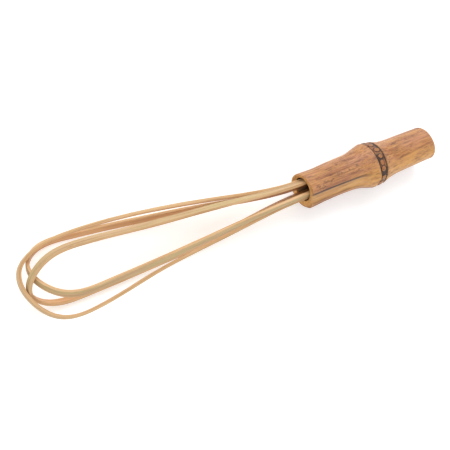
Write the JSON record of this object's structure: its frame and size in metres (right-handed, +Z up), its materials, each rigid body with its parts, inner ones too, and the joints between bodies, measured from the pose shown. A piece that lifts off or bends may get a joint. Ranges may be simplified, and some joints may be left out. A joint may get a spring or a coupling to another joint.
{
  "type": "bamboo whisk",
  "caption": "Bamboo whisk: a short length of culm with one node as the handle, and crossed loops of bent split bamboo set in its open end.",
  "frame": {"origin": "on the table, below the middle of the whisk's box, as it lies at rest", "axes": "+X along the whisk from the handle to the loops, +Z up, +Y to the left of +X, and the widest loop lies flat"},
  "size_m": [0.2706, 0.0445, 0.0275],
  "materials": {
    "culm": "satin, heat-browned skin",
    "split_bamboo": "satin",
    "wedge_bamboo": "sawn, matt",
    "resin": "glossy"
  },
  "bodies": {
    "root": {"handle_culm": "culm", "outer_strip": "split_bamboo", "middle_strip": "split_bamboo", "inner_strip": "split_bamboo", "tail_wedge": "wedge_bamboo", "glue_plug": "resin"}
  },
  "joints": []
}
